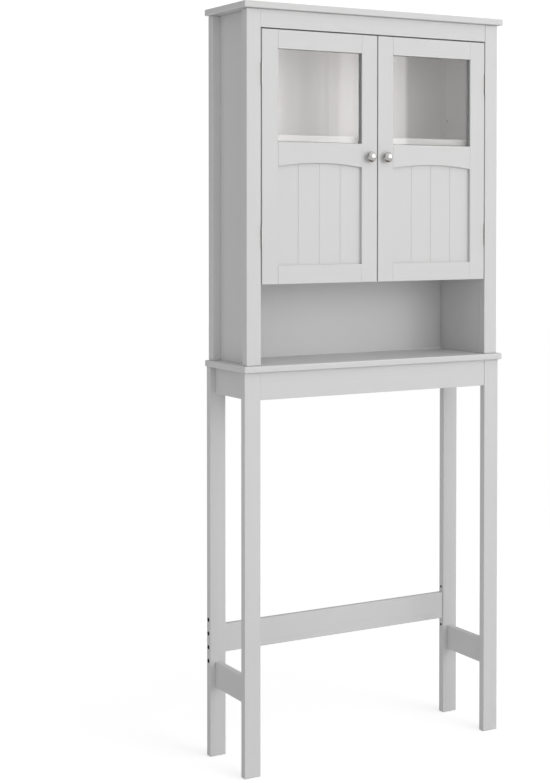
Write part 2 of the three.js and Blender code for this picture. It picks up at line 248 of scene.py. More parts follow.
def finished(shape, name, material, body, slot, *nodes, crease=35):
    """Turns a shape into a named piece with its finish, on its body and in place of its frame nodes."""
    bmesh.ops.remove_doubles(shape, verts=shape.verts, dist=0.001 * MM)
    bmesh.ops.recalc_face_normals(shape, faces=shape.faces)
    mesh = bpy.data.meshes.new(name)
    shape.to_mesh(mesh)
    shape.free()
    if mesh.has_custom_normals:
        mesh.attributes.remove(mesh.attributes["custom_normal"])
    number = mesh.attributes.new("piece_number", "FLOAT", "POINT")
    number.data.foreach_set("value", [float(len(bpy.data.meshes))] * len(mesh.vertices))
    mesh.polygons.foreach_set("use_smooth", [True] * len(mesh.polygons))
    mesh.set_sharp_from_angle(angle=math.radians(crease))
    mesh.materials.append(material)
    piece = bpy.data.objects.new(name, mesh)
    bpy.context.scene.collection.objects.link(piece)
    shading = piece.modifiers.new("even shading", "WEIGHTED_NORMAL")
    shading.keep_sharp = True
    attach(piece, body)
    if nodes:
        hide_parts(*nodes)
    return piece


for side in SIDES:
    leg = board(*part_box(f"{side}_front_leg"), LEG_ARRIS)
    finished(leg, f"front_leg_{side}", PAINTED_UPRIGHT, "carcass", "painted_board", f"{side}_front_leg")

# ------------------------------------------------------------------ rear legs
# Like the front legs, with a row of four stepped holes bored through at 32 mm pitch from the outer
# side: the wide part takes a bolt's head, and the bolt can go through any hole.

REAR_LEG_ARRIS = 1.1 * MM
BORE_ARRIS = 0.4 * MM
SHARP_CORNER = math.radians(40)


def turns_outward(edge):
    """Says whether an edge is a sharp outer corner."""
    return edge.is_manifold and edge.calc_face_angle_signed() > SHARP_CORNER


def eased_copy(node, radius, steps=2, leave=None):
    """The shape of a frame node with its outward edges eased, but for those it is told to leave."""
    shape = new_shape()
    shape.from_mesh(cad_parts[node].data)
    bmesh.ops.remove_doubles(shape, verts=shape.verts, dist=0.01 * MM)
    bmesh.ops.dissolve_limit(shape, angle_limit=math.radians(0.8), verts=shape.verts, edges=shape.edges)
    outward = []
    for edge in shape.edges:
        if turns_outward(edge) and (leave is None or not leave(edge)):
            outward.append(edge)
    mark_eased(shape, outward, radius, steps)
    return shape


def well_inside(point, low, high, margin):
    """Says whether a point is more than a margin inside a box, seen from its side."""
    return all(low[i] + margin < point[i] < high[i] - margin for i in (1, 2))


def mark_bore_shade(shape, low, high, arris):
    """Marks the faces inside the holes that are bored through a piece from side to side, for a near-black
    painted shade.
    """
    bare_bore_shade = shape.faces.layers.float["bare_bore_shade"]
    for face in shape.faces:
        middle = face.calc_center_median()
        sunk = low.x + arris < middle.x < high.x - arris
        face[bare_bore_shade] = 1.0 if sunk and well_inside(middle, low, high, 2 * arris) else 0.0


for side in SIDES:
    low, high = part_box(f"{side}_rear_leg")

    def at_bore(edge):
        return all(well_inside(vert.co, low, high, 2 * REAR_LEG_ARRIS) for vert in edge.verts)

    leg = eased_copy(f"{side}_rear_leg", REAR_LEG_ARRIS, leave=at_bore)
    rims = [edge for edge in leg.edges if at_bore(edge) and turns_outward(edge)]
    mark_eased(leg, rims, BORE_ARRIS, 2)
    # The faces inside the bores get a near-black painted shade.
    mark_bore_shade(leg, low, high, REAR_LEG_ARRIS)
    finished(leg, f"rear_leg_{side}", PAINTED_UPRIGHT, "carcass", "painted_board", f"{side}_rear_leg")

# ------------------------------------------------------------------ aprons
# Four rails of the same timber under the middle board, set back a little from the legs' faces so
# that a fine shadow shows at each joint. Glued into the legs.

APRON_ARRIS = 0.7 * MM
PAINTED_ACROSS = painted("grey paint on timber across", (5.0, 160.0, 160.0), 1.0, 0.6)
PAINTED_DEEP = painted("grey paint on timber front to back", (160.0, 5.0, 160.0), 1.0, 0.6)

for node in ("front_apron", "rear_apron"):
    apron = board(*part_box(node), APRON_ARRIS)
    finished(apron, f"{node}_rail", PAINTED_ACROSS, "carcass", "painted_board", node)
for side in SIDES:
    apron = board(*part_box(f"{side}_side_apron"), APRON_ARRIS)
    finished(apron, f"side_apron_{side}", PAINTED_DEEP, "carcass", "painted_board", f"{side}_side_apron")

# ------------------------------------------------------------------ side stretchers
# A low rail on each side between the front and the rear leg, set in from their outer faces.

STRETCHER_ARRIS = 1.2 * MM

for side in SIDES:
    node = f"{side}_side_stretcher"
    stretcher = board(*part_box(node), STRETCHER_ARRIS)
    finished(stretcher, f"side_stretcher_{side}", PAINTED_DEEP, "carcass", "painted_board", node)

# ------------------------------------------------------------------ rear bar and its bolts
# A rail between the rear legs that can be bolted one hole higher or lower to clear pipes. Each end
# is held by two zinc-plated socket-head bolts sunk in the legs' stepped holes.

BAR_ARRIS = 1.2 * MM
ZINC = (0.52, 0.53, 0.54, 1)
RUBBED_ZINC = (0.66, 0.66, 0.65, 1)
TURNING_LINES_PER_METRE = 2600.0
BOLT_HEAD_PROFILE = [
    (0, 2.4), (2.1, 2.6), (2.4, 0.5), (2.8, 0.1), (4.1, 0), (4.5, 0.4), (4.5, 4.9), (4.4, 5), (3, 5),
]


def fine_lines_effect():
    """Roughness and height of the close lines that turning, rolling or brushing leaves in metal."""
    usual = {"Across": (0.0, 0.0, 0.0), "Base": 0.3, "Spread": 0.15}
    tree, given, out = effect("fine lines", usual, ("Gloss", "Height"))
    lines = noise(tree, given["Across"], 1.0, 3.0)
    touch = noise(tree, object_place(tree), 90.0, 2.0)
    handled = calc(tree, "MULTIPLY", calc(tree, "SUBTRACT", touch, 0.5), 0.6)
    mixed = calc(tree, "ADD", calc(tree, "SUBTRACT", lines, 0.5), handled)
    gloss = calc(tree, "MULTIPLY_ADD", mixed, given["Spread"], given["Base"])
    tree.links.new(gloss, out.inputs["Gloss"])
    tree.links.new(lines, out.inputs["Height"])
    return tree


FINE_LINES = fine_lines_effect()


def metal(name, colour, rubbed, base, spread, across, strength):
    """Plated metal with fine lines across a direction, or with across None, round a turned part."""
    material, tree, shader = new_material(name)
    if across is None:
        along = calc(tree, "MULTIPLY", mark_on_piece(tree, "lay"), TURNING_LINES_PER_METRE)
        run = wired(tree, "ShaderNodeCombineXYZ", {"X": along}).outputs[0]
    else:
        run = stretched(tree, object_place(tree), across)
    values = {"Across": run, "Base": base, "Spread": spread}
    lines = wired(tree, "ShaderNodeGroup", values, node_tree=FINE_LINES).outputs
    wear = {"Size": 400.0, "Reach": 0.7}
    worn_and_lit = wired(tree, "ShaderNodeGroup", wear, node_tree=WORN_AND_HIGHLIT_EDGE).outputs["Worn And Highlit"]
    tint = noise(tree, object_place(tree), 160.0, 3.0)
    share = calc(tree, "ADD", worn_and_lit, ranged(tree, tint, 0.4, 0.7, 0.0, 0.35))
    mixed = two_tones(tree, share, colour, rubbed)
    surfaced(tree, shader, mixed, lines["Gloss"], lines["Height"], strength, 0.03 * MM)
    shader.inputs["Metallic"].default_value = 1.0
    return material


ZINC_PLATE = metal("zinc plate", ZINC, RUBBED_ZINC, 0.42, 0.25, (300.0, 300.0, 300.0), 0.3)


def facing(centre, direction):
    """A matrix that stands a shape made up +Z at centre, pointing in a direction."""
    turn = Vector(direction).to_track_quat("Z", "Y").to_matrix().to_4x4()
    return Matrix.Translation(Vector(centre)) @ turn


def turned(shape, profile, centre, direction, steps=32, closed=False):
    """Adds a turned part. Its profile is pairs of radius and height from centre, in millimetres."""
    known = set(shape.verts)
    lay = shape.verts.layers.float["lay"]
    line = [shape.verts.new((radius * MM, 0, height * MM)) for radius, height in profile]
    run = 0.0
    for before, after in zip(line, line[1:]):
        run += (after.co - before.co).length
        after[lay] = run
    ends = list(zip(line, line[1:])) + ([(line[-1], line[0])] if closed else [])
    edges = [shape.edges.new(pair) for pair in ends]
    bmesh.ops.spin(
        shape, geom=line + edges, cent=(0, 0, 0), axis=(0, 0, 1), angle=math.tau, steps=steps,
        use_merge=True,
    )
    fresh = [vert for vert in shape.verts if vert not in known]
    bmesh.ops.remove_doubles(shape, verts=fresh, dist=0.002 * MM)
    fresh = [vert for vert in shape.verts if vert not in known]
    bmesh.ops.transform(shape, matrix=facing(centre, direction), verts=fresh)


bar = board(*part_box("rear_bar"), BAR_ARRIS)
finished(bar, "rear_bar_rail", PAINTED_ACROSS, "rear_bar", "painted_board", "rear_bar")

for side, sign in SIDES.items():
    for place in ("lower", "upper"):
        node = f"{side}_bar_bolt_{place}"
        low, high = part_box(node)
        middle = (low + high) / 2
        outer = min(low.x, high.x) if sign < 0 else max(low.x, high.x)
        inner = max(low.x, high.x) if sign < 0 else min(low.x, high.x)
        length = abs(inner - outer) / MM
        bolt = new_shape()
        shank = [(3, length - 0.6), (2.5, length), (0, length)]
        turned(bolt, BOLT_HEAD_PROFILE + shank, (outer, middle.y, middle.z), (-sign, 0, 0), 24)
        finished(bolt, f"bar_bolt_{place}_{side}", ZINC_PLATE, "carcass", "zinc_steel", node)

# ------------------------------------------------------------------ middle and top boards
# Two boards of 15 mm board stock that overhang the stand and the case, their edges and corners
# well rounded and sprayed. Screwed down through the aprons and the case from below.

BOARD_ARRIS = 2.6 * MM
PAINTED_BOARD = painted("grey paint on smooth board", (30.0, 30.0, 30.0), 0.25, 1.0)

for node in ("middle_board", "top_board"):
    wide = board(*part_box(node), BOARD_ARRIS, 5)
    finished(wide, f"{node}_panel", PAINTED_BOARD, "carcass", "painted_board", node)

# ------------------------------------------------------------------ corner posts of the case
# Front posts are plain uprights that frame the doors. Rear posts have a rebate for the back panel.

POST_ARRIS = 1.6 * MM

for side in SIDES:
    post = board(*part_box(f"{side}_front_post"), POST_ARRIS)
    finished(post, f"front_post_{side}", PAINTED_UPRIGHT, "carcass", "painted_board", f"{side}_front_post")
    post = eased_copy(f"{side}_rear_post", POST_ARRIS)
    finished(post, f"rear_post_{side}", PAINTED_UPRIGHT, "carcass", "painted_board", f"{side}_rear_post")

# ------------------------------------------------------------------ side panels of the case
# Panels glued between the posts, flush with them inside, with bored holes for the shelf pins.

PANEL_ARRIS = 0.25 * MM

for side in SIDES:
    panel = eased_copy(f"{side}_side_panel", PANEL_ARRIS)
    # The faces inside the pin holes get a near-black painted shade.
    mark_bore_shade(panel, *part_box(f"{side}_side_panel"), PANEL_ARRIS)
    finished(panel, f"side_panel_{side}", PAINTED_BOARD, "carcass", "painted_board", f"{side}_side_panel")

# ------------------------------------------------------------------ back panel and its pins
# Thin hardboard let into the rear posts' rebates and held with small round-headed pins.

BACK_ARRIS = 0.3 * MM
BACK_PIN = {"inset": 3.2 * MM, "end": 12 * MM, "step": 105 * MM, "foot": 0.45 * MM}
BACK_PIN_PROFILE = [(0, 0.55), (0.8, 0.45), (1.4, 0.2), (1.6, -0.1), (1.6, -0.4), (0, -0.4)]

back_low, back_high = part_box("back_panel")
back = board(back_low, back_high, BACK_ARRIS, 2)
finished(back, "back_sheet", PAINTED_BOARD, "carcass", "painted_board", "back_panel")

pins = new_shape()
foot_y = back_high.y - BACK_PIN["foot"]
first_z, last_z = back_low.z + BACK_PIN["end"], back_high.z - BACK_PIN["end"]
rows = int((back_high.z - back_low.z) / BACK_PIN["step"])
for row in range(rows + 1):
    z = first_z + (last_z - first_z) * row / rows
    for x in (back_low.x + BACK_PIN["inset"], back_high.x - BACK_PIN["inset"]):
        turned(pins, BACK_PIN_PROFILE, (x, foot_y, z), (0, 1, 0), 12)
columns = int((back_high.x - back_low.x) / BACK_PIN["step"])
for column in range(1, columns):
    x = back_low.x + (back_high.x - back_low.x) * column / columns
    for z in (first_z, last_z):
        turned(pins, BACK_PIN_PROFILE, (x, foot_y, z), (0, 1, 0), 12)
finished(pins, "back_panel_pins", ZINC_PLATE, "carcass", "zinc_steel")

# ------------------------------------------------------------------ top rail and floor of the case
# The rail closes the case over the doors, set back 1 mm. The floor parts the cupboard from the niche.

RAIL_ARRIS = 0.7 * MM

rail = board(*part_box("case_top_rail"), RAIL_ARRIS)
finished(rail, "top_rail", PAINTED_ACROSS, "carcass", "painted_board", "case_top_rail")
floor_board = board(*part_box("case_floor"), RAIL_ARRIS)
finished(floor_board, "cupboard_floor", PAINTED_BOARD, "carcass", "painted_board", "case_floor")

# ------------------------------------------------------------------ magnetic catch
# A moulded housing with two magnets, each between two steel pole plates, screwed to the cupboard
# floor behind the meeting stiles.

DARK_PLASTIC = (0.085, 0.088, 0.09, 1)
WORN_PLASTIC = (0.13, 0.133, 0.135, 1)
MAGNET = {"half_width": 8 * MM, "height": 8.4 * MM, "from_middle": 12 * MM}
POLE = {"thick": 1.2 * MM, "proud": 0.45 * MM, "sunk": 2 * MM}


def moulded_plastic():
    """Fine spark-eroded texture with worn, shinier edges."""
    material, tree, shader = new_material("moulded dark plastic")
    place = object_place(tree)
    grit, flow = noise(tree, place, 2400.0, 2.0), noise(tree, place, 70.0, 3.0)
    worn_and_lit = wired(tree, "ShaderNodeGroup", node_tree=WORN_AND_HIGHLIT_EDGE).outputs["Worn And Highlit"]
    share = calc(tree, "ADD", worn_and_lit, ranged(tree, flow, 0.3, 0.7, 0.0, 0.3))
    colour = two_tones(tree, share, DARK_PLASTIC, WORN_PLASTIC)
    gloss = calc(tree, "MULTIPLY_ADD", flow, 0.2, 0.42)
    surfaced(tree, shader, colour, gloss, grit, 0.3, 0.05 * MM)
    return material


MOULDED_PLASTIC = moulded_plastic()


def cross_head(shape, centre, direction, radius, height):
    """Adds a countersunk screw head with a cross recess, its flat at centre and facing a direction."""
    known = set(shape.verts)
    bmesh.ops.create_cone(
        shape, cap_ends=True, cap_tris=False, segments=16, radius1=radius * 0.62, radius2=radius,
        depth=height, matrix=Matrix.Translation((0, 0, -height / 2)),
    )
    fresh = [vert for vert in shape.verts if vert not in known]
    faces = {face for vert in fresh for face in vert.link_faces}
    cap = max(faces, key=lambda face: face.calc_center_median().z)
    bmesh.ops.inset_individual(shape, faces=[cap], thickness=radius * 0.4)
    for i, vert in enumerate(cap.verts):
        reach = 1.0 if i % 4 == 0 else 0.36
        vert.co.x *= reach
        vert.co.y *= reach
    bmesh.ops.inset_individual(shape, faces=[cap], thickness=radius * 0.03, depth=-height * 0.7)
    fresh = [vert for vert in shape.verts if vert not in known]
    bmesh.ops.transform(shape, matrix=facing(centre, direction), verts=fresh)


catch_low, catch_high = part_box("magnet_catch")
catch_middle = (catch_low + catch_high) / 2
housing = new_shape()
block(housing, catch_low, catch_high)
mark_eased(housing, housing.edges[:], 1.0 * MM)
finished(housing, "catch_housing", MOULDED_PLASTIC, "carcass", "dark_plastic", "magnet_catch")

poles = new_shape()
for sign in SIDES.values():
    centre = sign * MAGNET["from_middle"]
    for edge in (-1, 1):
        x = centre + edge * (MAGNET["half_width"] - POLE["thick"] / 2)
        reach = Vector((POLE["thick"] / 2, 0, MAGNET["height"] / 2))
        front = Vector((x, catch_low.y - POLE["proud"], catch_middle.z))
        rear = Vector((x, catch_low.y + POLE["sunk"], catch_middle.z))
        block(poles, front - reach, rear + reach)
mark_eased(poles, poles.edges[:], 0.2 * MM, 2)
cross_head(poles, (0, catch_middle.y, catch_high.z + 0.15 * MM), (0, 0, 1), 2.6 * MM, 1.2 * MM)
finished(poles, "catch_poles", ZINC_PLATE, "carcass", "zinc_steel")

# ------------------------------------------------------------------ adjustable shelf and its pins
# A loose shelf on four nickel-plated steel pins.

SHELF_ARRIS = 1.2 * MM
NICKEL = (0.60, 0.585, 0.56, 1)
BRIGHT_NICKEL = (0.78, 0.77, 0.75, 1)
TURNED_NICKEL = metal("turned nickel", NICKEL, BRIGHT_NICKEL, 0.17, 0.08, None, 0.15)
SHELF_PIN_PROFILE = [(0, 0), (1.9, 0), (2.4, 0.5), (2.5, 1.2), (2.5, 18.4), (2.0, 19), (0, 19)]

shelf = board(*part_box("adjustable_shelf"), SHELF_ARRIS)
finished(shelf, "shelf_board", PAINTED_BOARD, "shelf", "painted_board", "adjustable_shelf")

for side, sign in SIDES.items():
    for place in ("front", "rear"):
        node = f"{side}_shelf_pin_{place}"
        low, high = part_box(node)
        middle = (low + high) / 2
        tip = high.x if sign < 0 else low.x
        pin = new_shape()
        turned(pin, SHELF_PIN_PROFILE, (tip, middle.y, middle.z), (sign, 0, 0), 20)
        finished(pin, f"shelf_pin_{place}_{side}", TURNED_NICKEL, "carcass", "brushed_nickel", node)

# ------------------------------------------------------------------ door frames
# Each door has two full-height stiles and three rails between them, rebated at the back for the
# glass and the panel. The middle rail is arched below. Glued, then sprayed as one door.

DOOR_ARRIS = 0.6 * MM
RAIL_END_SLACK = 0.1 * MM


def rail_end(node):
    """Says whether an edge lies at an end of a rail, where it is glued to a stile."""
    low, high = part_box(node)

    def at_end(edge):
        ends = [vert.co.x for vert in edge.verts]
        return any(all(abs(x - end) < RAIL_END_SLACK for x in ends) for end in (low.x, high.x))

    return at_end


for side in SIDES:
    for part in ("hinge_stile", "meeting_stile"):
        node = f"{side}_door_{part}"
        stile = eased_copy(node, DOOR_ARRIS)
        finished(stile, f"door_{part}_{side}", PAINTED_UPRIGHT, f"{side}_door", "painted_board", node)
    for part in ("top_rail", "middle_rail", "bottom_rail"):
        node = f"{side}_door_{part}"
        rail = eased_copy(node, DOOR_ARRIS, leave=rail_end(node))
        finished(rail, f"door_{part}_{side}", PAINTED_ACROSS, f"{side}_door", "painted_board", node)

# ------------------------------------------------------------------ beadboard panels
# A 6 mm panel in the lower opening of each door, V-grooved as if made of four narrow boards. Flat
# strips pinned behind it hold it in the rebate.

GROOVE_ARRIS = 0.3 * MM
STRIP = {"width": 5.2 * MM, "thick": 3.6 * MM, "arris": 0.5 * MM}
BEHIND = 0.1 * MM


def four_strips(low, high, width, thick, arris):
    """Strips round the inside of an opening from low to high, just behind what they hold."""
    y_front = high.y + BEHIND
    y_rear, y_middle = y_front + thick, y_front + thick / 2
    shape = new_shape()
    block(shape, (low.x, y_front, low.z), (low.x + width, y_rear, high.z))
    block(shape, (high.x - width, y_front, low.z), (high.x, y_rear, high.z))
    block(shape, (low.x + width, y_front, low.z), (high.x - width, y_rear, low.z + width))
    block(shape, (low.x + width, y_front, high.z - width), (high.x - width, y_rear, high.z))
    rear_edges = [edge for edge in shape.edges if all(vert.co.y > y_middle for vert in edge.verts)]
    mark_eased(shape, [edge for edge in rear_edges if edge.calc_length() > 2 * width], arris, 4)
    return shape


for side in SIDES:
    node = f"{side}_door_beadboard"
    low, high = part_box(node)
    panel = eased_copy(node, GROOVE_ARRIS)
    finished(panel, f"door_panel_{side}", PAINTED_BOARD, f"{side}_door", "painted_board", node, crease=15)
    strips = four_strips(low, high, STRIP["width"], STRIP["thick"], STRIP["arris"])
    finished(strips, f"door_panel_strips_{side}", PAINTED_ACROSS, f"{side}_door", "painted_board")

# ------------------------------------------------------------------ glass and its beads
# A 3 mm pane of clear float glass in the upper opening of each door, held from behind by rounded
# timber beads.

GLASS_TINT = (0.985, 0.985, 0.985, 1)
LET_THROUGH = (0.96, 0.96, 0.96, 1)
PANE_ARRIS = 0.3 * MM
BEAD = {"width": 5.4 * MM, "thick": 6.8 * MM, "arris": 4.0 * MM}


def float_glass():
    """Clear glass with faint smears. Lamps shine through it without bending."""
    material, tree, shader = new_material("clear float glass")
    smear = noise(tree, object_place(tree), 14.0, 5.0)
    shader.inputs["Base Color"].default_value = GLASS_TINT
    shader.inputs["Transmission Weight"].default_value = 1.0
    shader.inputs["IOR"].default_value = 1.5
    tree.links.new(ranged(tree, smear, 0.45, 0.75, 0.0, 0.035), shader.inputs["Roughness"])
    lamp_ray = wired(tree, "ShaderNodeLightPath").outputs["Is Shadow Ray"]
    clear = wired(tree, "ShaderNodeBsdfTransparent", {"Color": LET_THROUGH}).outputs[0]
    mixed = wired(tree, "ShaderNodeMixShader", {0: lamp_ray, 1: shader.outputs[0], 2: clear})
    tree.links.new(mixed.outputs[0], tree.nodes["Material Output"].inputs["Surface"])
    return material


FLOAT_GLASS = float_glass()

for side in SIDES:
    node = f"{side}_door_glass"
    low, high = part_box(node)
    pane = board(low, high, PANE_ARRIS, 2)
    finished(pane, f"door_pane_{side}", FLOAT_GLASS, f"{side}_door", "clear_glass", node)
    beads = four_strips(low, high, BEAD["width"], BEAD["thick"], BEAD["arris"])
    finished(beads, f"glass_beads_{side}", PAINTED_ACROSS, f"{side}_door", "painted_board")

# ------------------------------------------------------------------ knobs, screws and strikes
# Turned brass knobs, nickel-plated and lightly brushed, each held by a screw through the stile from
# inside. A small zinc-plated strike on each door meets the magnetic catch.

KNOB_PROFILE = [
    (0, 0.3), (6.7, 0.3), (7.0, 0.6), (7.0, 1.2), (6.6, 1.8), (5.9, 2.6), (5.5, 3.6), (5.6, 4.6),
    (6.4, 5.6), (8.2, 6.5), (10.3, 7.3), (11.7, 8.2), (12.3, 9.2), (12.4, 10.0), (12.2, 10.9),
    (11.6, 11.9), (10.5, 12.9), (8.9, 13.8), (6.9, 14.7), (4.7, 15.4), (2.4, 15.85), (0, 16.0),
]

STRIKE_ARRIS = 0.25 * MM

for side in SIDES:
    door = f"{side}_door"
    node = f"{side}_door_knob"
    low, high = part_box(node)
    face_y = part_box(f"{side}_door_meeting_stile")[0].y
    knob = new_shape()
    turned(knob, KNOB_PROFILE, ((low.x + high.x) / 2, face_y, (low.z + high.z) / 2), (0, -1, 0), 56)
    finished(knob, f"knob_{side}", TURNED_NICKEL, door, "brushed_nickel", node)

    node = f"{side}_door_knob_screw"
    low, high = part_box(node)
    x, z = (low.x + high.x) / 2, (low.z + high.z) / 2
    length = high.y / MM - low.y / MM
    shank = [(0, length), (2.0, length), (2.0, 2.4)]
    head = [(4.5, 2.4), (4.5, 1.3), (3.7, 0.4), (2.0, 0.05), (1.2, 0.0), (1.0, 0.9), (0, 1.0)]
    screw = new_shape()
    turned(screw, shank + head, (x, high.y, z), (0, -1, 0), 20)
    finished(screw, f"knob_screw_{side}", ZINC_PLATE, door, "zinc_steel", node)

    node = f"{side}_door_strike"
    low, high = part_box(node)
    strike = board(low, high, STRIKE_ARRIS, 2)
    screw_place = ((low.x + high.x) / 2, high.y + 0.12 * MM, (low.z + high.z) / 2)
    cross_head(strike, screw_place, (0, 1, 0), 1.9 * MM, 0.6 * MM)
    finished(strike, f"strike_{side}", ZINC_PLATE, door, "zinc_steel", node)

# ------------------------------------------------------------------ hinges
# Two small butt hinges per door of rolled and nickel-plated steel. Each leaf is sunk in its edge and
# held by three countersunk screws, and five knuckles turn on a pin that stands proud of the door.

HINGE_LEAF = {"thick": 0.8 * MM, "hole": 2.3 * MM, "hole_bottom": 0.72, "holes": 3}
HINGE_SCREW = {"radius": 2.1 * MM, "height": 0.9 * MM, "sunk": 0.06 * MM}
# Knuckle sizes are in millimetres, as turned profiles are.
KNUCKLES = {"count": 5, "radius": 1.75, "bore": 1.1, "pin": 0.8, "round": 0.25, "play": 0.12}
SATIN_NICKEL = (0.60, 0.59, 0.575, 1)
ROLLED_NICKEL = metal("rolled nickel", SATIN_NICKEL, BRIGHT_NICKEL, 0.33, 0.16, (900.0, 900.0, 40.0), 0.2)


def drilled_leaf(shape, x_back, x_face, y_low, y_high, z_low, z_high):
    """Adds a hinge leaf between two planes of x, with countersunk holes that open towards x_face."""
    known = set(shape.verts)
    count = HINGE_LEAF["holes"]
    half_y, half_z = (y_high - y_low) / 2, (z_high - z_low) / count / 2
    for i in range(count):
        centre = Vector((x_back, (y_low + y_high) / 2, z_low + half_z * (2 * i + 1)))
        rim = bmesh.ops.create_circle(shape, segments=16, radius=1.0)["verts"]
        edges = {edge for vert in rim for edge in vert.link_edges}
        for vert in rim:
            y, z, _ = vert.co
            reach = max(abs(y), abs(z))
            vert.co = centre + Vector((0, half_y * y / reach, half_z * z / reach))
        hole = bmesh.ops.create_circle(shape, segments=16, radius=1.0)["verts"]
        edges |= {edge for vert in hole for edge in vert.link_edges}
        for vert in hole:
            y, z, _ = vert.co
            vert.co = centre + Vector((0, y, z)) * HINGE_LEAF["hole"] * HINGE_LEAF["hole_bottom"]
        bmesh.ops.bridge_loops(shape, edges=list(edges))
    fresh = [vert for vert in shape.verts if vert not in known]
    bmesh.ops.remove_doubles(shape, verts=fresh, dist=0.002 * MM)
    faces = list({face for vert in shape.verts if vert not in known for face in vert.link_faces})
    made = bmesh.ops.extrude_face_region(shape, geom=faces, use_keep_orig=True)["geom"]
    front = [item for item in made if isinstance(item, bmesh.types.BMVert)]
    bmesh.ops.translate(shape, vec=(x_face - x_back, 0, 0), verts=front)
    for i in range(count):
        centre = Vector((x_face, (y_low + y_high) / 2, z_low + half_z * (2 * i + 1)))
        for vert in front:
            offset = vert.co - centre
            if offset.length < HINGE_LEAF["hole"] * 0.8:
                vert.co = centre + offset.normalized() * HINGE_LEAF["hole"]


def knuckle(shape, axis, bottom, top):
    """Adds a knuckle, a short tube with rounded rims, between two heights in millimetres on the axis."""
    radius, bore, rounded = KNUCKLES["radius"], KNUCKLES["bore"], KNUCKLES["round"]
    outside = [(radius - rounded, bottom), (radius, bottom + rounded), (radius, top - rounded)]
    ring = [(bore, bottom)] + outside + [(radius - rounded, top), (bore, top)]
    turned(shape, ring, axis, (0, 0, 1), 24, closed=True)


def hinge_pin(shape, axis, tall):
    """Adds the pin that the knuckles turn on, its height in millimetres."""
    radius, rounded = KNUCKLES["pin"], KNUCKLES["round"]
    foot = [(0, 0.05), (radius - rounded, 0.05), (radius, 0.3)]
    head = [(radius, tall - 0.3), (radius - rounded, tall - 0.05), (0, tall - 0.05)]
    turned(shape, foot + head, axis, (0, 0, 1), 16)


for side, sign in SIDES.items():
    stile_low, stile_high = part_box(f"{side}_door_hinge_stile")
    post_low, post_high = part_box(f"{side}_front_post")
    face_y = stile_low.y
    post_x, stile_x = (post_high.x, stile_low.x) if sign < 0 else (post_low.x, stile_high.x)
    play = (abs(stile_x - post_x) - 2 * HINGE_LEAF["thick"]) / 4
    for place in ("upper", "lower"):
        for part, body, first in (("post_leaf", "carcass", 0), ("door_leaf", f"{side}_door", 1)):
            node = f"{side}_{place}_hinge_{part}"
            low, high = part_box(node)
            axis = Vector(((post_x + stile_x) / 2, low.y + KNUCKLES["radius"] * MM, low.z))
            near = post_x - sign * play if part == "post_leaf" else axis.x - sign * play
            far = near - sign * HINGE_LEAF["thick"]
            back_x, show_x = (near, far) if part == "post_leaf" else (far, near)
            leaf = new_shape()
            drilled_leaf(leaf, back_x, show_x, face_y, high.y, low.z, high.z)
            tall = (high.z - low.z) / MM
            step = tall / KNUCKLES["count"]
            root_y = axis.y + (KNUCKLES["bore"] + 0.1) * MM
            for i in range(first, KNUCKLES["count"], 2):
                bottom, top = i * step + KNUCKLES["play"], (i + 1) * step - KNUCKLES["play"]
                knuckle(leaf, axis, bottom, top)
                root = Vector((min(near, far), root_y, low.z + bottom * MM))
                block(leaf, root, (max(near, far), face_y + 0.5 * MM, low.z + top * MM))
            if part == "post_leaf":
                hinge_pin(leaf, axis, tall)
            finished(leaf, f"hinge_{part}_{place}_{side}", ROLLED_NICKEL, body, "brushed_nickel", node)

            screws = new_shape()
            towards = -sign if part == "post_leaf" else sign
            for i in range(HINGE_LEAF["holes"]):
                z = low.z + (high.z - low.z) * (2 * i + 1) / (2 * HINGE_LEAF["holes"])
                centre = (show_x - towards * HINGE_SCREW["sunk"], (face_y + high.y) / 2, z)
                cross_head(screws, centre, (towards, 0, 0), HINGE_SCREW["radius"], HINGE_SCREW["height"])
            name = f"hinge_screws_{part}_{place}_{side}"
            finished(screws, name, ROLLED_NICKEL, body, "brushed_nickel")

# ------------------------------------------------------------------ floor and studio
# A plain pale floor that fades to white, a large soft lamp to the right of the front, a streaked
# pale screen that the glass mirrors, and the camera. The studio looks plain white, but shiny
# surfaces mirror a darker one with brighter walls.

FLOOR_RADIUS = 14
DARK_FLOOR = (0.16, 0.13, 0.11, 1)
WHITE = (1, 1, 1, 1)

def in_view(tree, own_depth):
    """1 for what the camera sees, straight or through glass. The world adds one depth of its own."""
    path = wired(tree, "ShaderNodeLightPath").outputs
    turns = calc(tree, "SUBTRACT", path["Ray Depth"], path["Transmission Depth"])
    straight = calc(tree, "LESS_THAN", turns, own_depth + 0.5)
    through = calc(tree, "MULTIPLY", path["Is Transmission Ray"], straight)
    return calc(tree, "MAXIMUM", path["Is Camera Ray"], through)


def in_mirror(tree, own_depth):
    """1 for what shiny surfaces mirror."""
    glossy = wired(tree, "ShaderNodeLightPath").outputs["Is Glossy Ray"]
    return calc(tree, "MULTIPLY", glossy, calc(tree, "SUBTRACT", 1.0, in_view(tree, own_depth)))


floor = bpy.data.objects.new("studio_floor", bpy.data.meshes.new("studio_floor"))
shape = bmesh.new()
bmesh.ops.create_circle(shape, cap_ends=True, segments=96, radius=FLOOR_RADIUS)
shape.to_mesh(floor.data)
shape.free()
bpy.context.scene.collection.objects.link(floor)

